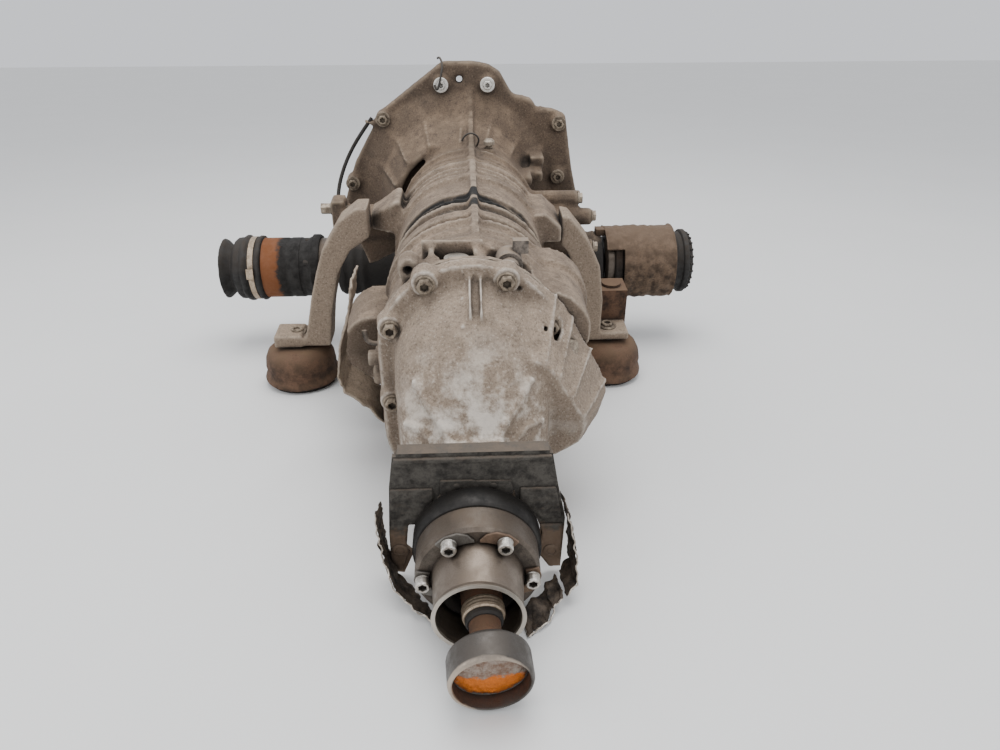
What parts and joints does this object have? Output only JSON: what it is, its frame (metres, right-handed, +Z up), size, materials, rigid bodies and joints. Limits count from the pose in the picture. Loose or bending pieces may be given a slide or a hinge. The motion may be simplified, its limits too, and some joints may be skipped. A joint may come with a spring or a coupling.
{
  "type": "manual transmission",
  "caption": "Lengthwise manual gearbox with bell housing, ribbed case, rear cover, mount arms, side and rear drive joints, and a working gear train.",
  "frame": {"origin": "where the input shaft's axis meets the bell housing's mounting face", "axes": "+Y along the input shaft towards the engine, +X to the right seen from behind, +Z up"},
  "size_m": [0.747, 0.8923, 0.406],
  "materials": {
    "bell_casting": "cast aluminium under dried road dirt",
    "case_casting": "cast aluminium under dried road dirt",
    "cover_casting": "cast aluminium, dust rubbed bright on the high spots",
    "arm_casting": "cast aluminium, evenly dusty",
    "bright_steel": "machined steel, lightly stained",
    "joint_steel": "phosphated steel with brown stain",
    "rusty_steel": "black paint gone to rust",
    "bolt_steel": "zinc-plated bolts under dust",
    "gear_steel": "ground and hardened gear steel",
    "bronze": "selector fork bronze",
    "black_rubber": "dusty black rubber",
    "black_plate": "black paint under grit",
    "heat_foil": "embossed aluminium foil, soiled",
    "black_plastic": "matt black moulded plastic"
  },
  "bodies": {
    "root": {"bell_housing": "bell_casting", "main_case": "case_casting", "rear_cover": "cover_casting", "cover_bolts": "bolt_steel", "shaft_bearings": "bright_steel", "side_seals": "black_rubber", "guide_sleeve": "bright_steel", "oil_plugs": "bolt_steel", "side_bolts": "bolt_steel", "breather_cap": "bolt_steel", "reverse_switch": "black_plastic", "breather_hose": "black_rubber", "left_mount_arm": "arm_casting", "right_mount_arm": "arm_casting", "mount_cups": "rusty_steel", "mount_rubbers": "black_rubber", "bracket_bolts": "bolt_steel", "right_mount_weight": "rusty_steel", "damper_plate": "black_plate", "under_foil": "heat_foil", "right_heat_shield": "heat_foil", "left_heat_shield": "heat_foil", "selector_rails": "bright_steel", "reverse_axle": "bright_steel"},
    "input_line": {"input_shaft": "gear_steel"},
    "output_line": {"output_shaft": "gear_steel", "driven_gears": "gear_steel", "centre_diff_case": "gear_steel"},
    "first_speed": {"first_gear": "gear_steel"},
    "second_speed": {"second_gear": "gear_steel"},
    "third_speed": {"third_gear": "gear_steel"},
    "fourth_speed": {"fourth_gear": "gear_steel"},
    "fifth_speed": {"fifth_gear": "gear_steel"},
    "reverse_speed": {"reverse_gear": "gear_steel"},
    "idler": {"reverse_idler": "gear_steel"},
    "sleeve_12": {"first_second_sleeve": "bright_steel"},
    "sleeve_34": {"third_fourth_sleeve": "bright_steel"},
    "sleeve_5r": {"fifth_reverse_sleeve": "bright_steel"},
    "fork_12": {"first_second_fork": "bronze"},
    "fork_34": {"third_fourth_fork": "bronze"},
    "fork_5r": {"fifth_reverse_fork": "bronze"},
    "selector_gate": {"selector_sleeve": "bright_steel"},
    "selector_rod": {"selector_shaft": "bright_steel"},
    "pinion": {"pinion_shaft": "gear_steel"},
    "differential": {"ring_gear": "gear_steel", "diff_case": "gear_steel"},
    "left_output": {"left_output_flange": "joint_steel", "left_joint_can": "rusty_steel", "left_boot": "black_rubber"},
    "right_output": {"right_output_flange": "joint_steel", "right_joint_can": "rusty_steel", "right_boot": "black_rubber"},
    "rear_output": {"rear_flange": "joint_steel", "rear_joint_ring": "joint_steel", "rear_joint_cap": "joint_steel", "rear_joint_shims": "bright_steel", "rear_joint_bolts": "bolt_steel"},
    "cage": {"joint_cage": "bright_steel"},
    "propshaft": {"propshaft_stub": "joint_steel"},
    "clutch_release": {"release_bearing": "bright_steel"}
  },
  "joints": [
    {"name": "input_spin", "type": "hinge", "parent": "root", "child": "input_line", "pos_m": [0, 0, 0], "axis": [0, 1, 0], "continuous": true},
    {"name": "output_spin", "type": "hinge", "parent": "root", "child": "output_line", "pos_m": [0.02, 0, -0.103], "axis": [0, 1, 0], "continuous": true},
    {"name": "first_spin", "type": "hinge", "parent": "root", "child": "first_speed", "pos_m": [0.02, 0, -0.103], "axis": [0, 1, 0], "continuous": true},
    {"name": "second_spin", "type": "hinge", "parent": "root", "child": "second_speed", "pos_m": [0.02, 0, -0.103], "axis": [0, 1, 0], "continuous": true},
    {"name": "third_spin", "type": "hinge", "parent": "root", "child": "third_speed", "pos_m": [0, 0, 0], "axis": [0, 1, 0], "continuous": true},
    {"name": "fourth_spin", "type": "hinge", "parent": "root", "child": "fourth_speed", "pos_m": [0, 0, 0], "axis": [0, 1, 0], "continuous": true},
    {"name": "fifth_spin", "type": "hinge", "parent": "root", "child": "fifth_speed", "pos_m": [0, 0, 0], "axis": [0, 1, 0], "continuous": true},
    {"name": "reverse_spin", "type": "hinge", "parent": "root", "child": "reverse_speed", "pos_m": [0, 0, 0], "axis": [0, 1, 0], "continuous": true},
    {"name": "idler_spin", "type": "hinge", "parent": "root", "child": "idler", "pos_m": [0.0507, 0, -0.01847], "axis": [0, 1, 0], "continuous": true},
    {"name": "fork_12_shift", "type": "slide", "parent": "root", "child": "fork_12", "axis": [0, 1, 0], "range_m": [-0.009, 0.009]},
    {"name": "fork_34_shift", "type": "slide", "parent": "root", "child": "fork_34", "axis": [0, 1, 0], "range_m": [-0.009, 0.009]},
    {"name": "fork_5r_shift", "type": "slide", "parent": "root", "child": "fork_5r", "axis": [0, 1, 0], "range_m": [-0.009, 0.009]},
    {"name": "sleeve_12_shift", "type": "slide", "parent": "output_line", "child": "sleeve_12", "axis": [0, 1, 0], "range_m": [-0.009, 0.009]},
    {"name": "sleeve_34_shift", "type": "slide", "parent": "input_line", "child": "sleeve_34", "axis": [0, 1, 0], "range_m": [-0.009, 0.009]},
    {"name": "sleeve_5r_shift", "type": "slide", "parent": "input_line", "child": "sleeve_5r", "axis": [0, 1, 0], "range_m": [-0.009, 0.009]},
    {"name": "selector_turn", "type": "hinge", "parent": "root", "child": "selector_gate", "pos_m": [0.006, -0.514, 0], "axis": [0, 0, 1], "range_deg": [-12, 12]},
    {"name": "selector_lift", "type": "slide", "parent": "selector_gate", "child": "selector_rod", "axis": [0, 0, 1], "range_m": [-0.006, 0.006]},
    {"name": "pinion_spin", "type": "hinge", "parent": "root", "child": "pinion", "pos_m": [0.02, 0, -0.103], "axis": [0, 1, 0], "continuous": true},
    {"name": "differential_spin", "type": "hinge", "parent": "root", "child": "differential", "pos_m": [0, -0.092, -0.103], "axis": [1, 0, 0], "continuous": true},
    {"name": "left_output_spin", "type": "hinge", "parent": "root", "child": "left_output", "pos_m": [0, -0.092, -0.103], "axis": [1, 0, 0], "continuous": true},
    {"name": "right_output_spin", "type": "hinge", "parent": "root", "child": "right_output", "pos_m": [0, -0.092, -0.103], "axis": [1, 0, 0], "continuous": true},
    {"name": "rear_output_spin", "type": "hinge", "parent": "root", "child": "rear_output", "pos_m": [0.02, 0, -0.103], "axis": [0, 1, 0], "continuous": true},
    {"name": "propshaft_tilt", "type": "hinge", "parent": "rear_output", "child": "cage", "pos_m": [0.02, -0.755, -0.103], "axis": [1, 0, 0], "range_deg": [-5, 5]},
    {"name": "propshaft_swing", "type": "hinge", "parent": "cage", "child": "propshaft", "pos_m": [0.02, -0.755, -0.103], "axis": [0, 0, 1], "range_deg": [-5, 5]},
    {"name": "release_travel", "type": "slide", "parent": "root", "child": "clutch_release", "axis": [0, 1, 0], "range_m": [0, 0.008]}
  ],
  "couplings": [
    {"joint": "first_spin", "follows": "input_spin", "ratio": -0.27273},
    {"joint": "second_spin", "follows": "input_spin", "ratio": -0.45833},
    {"joint": "third_spin", "follows": "output_spin", "ratio": -1.5},
    {"joint": "fourth_spin", "follows": "output_spin", "ratio": -1.1875},
    {"joint": "fifth_spin", "follows": "output_spin", "ratio": -0.94444},
    {"joint": "idler_spin", "follows": "output_spin", "ratio": -2},
    {"joint": "reverse_spin", "follows": "output_spin", "ratio": 2.5},
    {"joint": "pinion_spin", "follows": "output_spin", "ratio": 1},
    {"joint": "rear_output_spin", "follows": "output_spin", "ratio": 1},
    {"joint": "differential_spin", "follows": "output_spin", "ratio": -0.26829},
    {"joint": "left_output_spin", "follows": "output_spin", "ratio": -0.26829},
    {"joint": "right_output_spin", "follows": "output_spin", "ratio": -0.26829},
    {"joint": "sleeve_12_shift", "follows": "fork_12_shift", "ratio": 1},
    {"joint": "sleeve_34_shift", "follows": "fork_34_shift", "ratio": 1},
    {"joint": "sleeve_5r_shift", "follows": "fork_5r_shift", "ratio": 1}
  ]
}
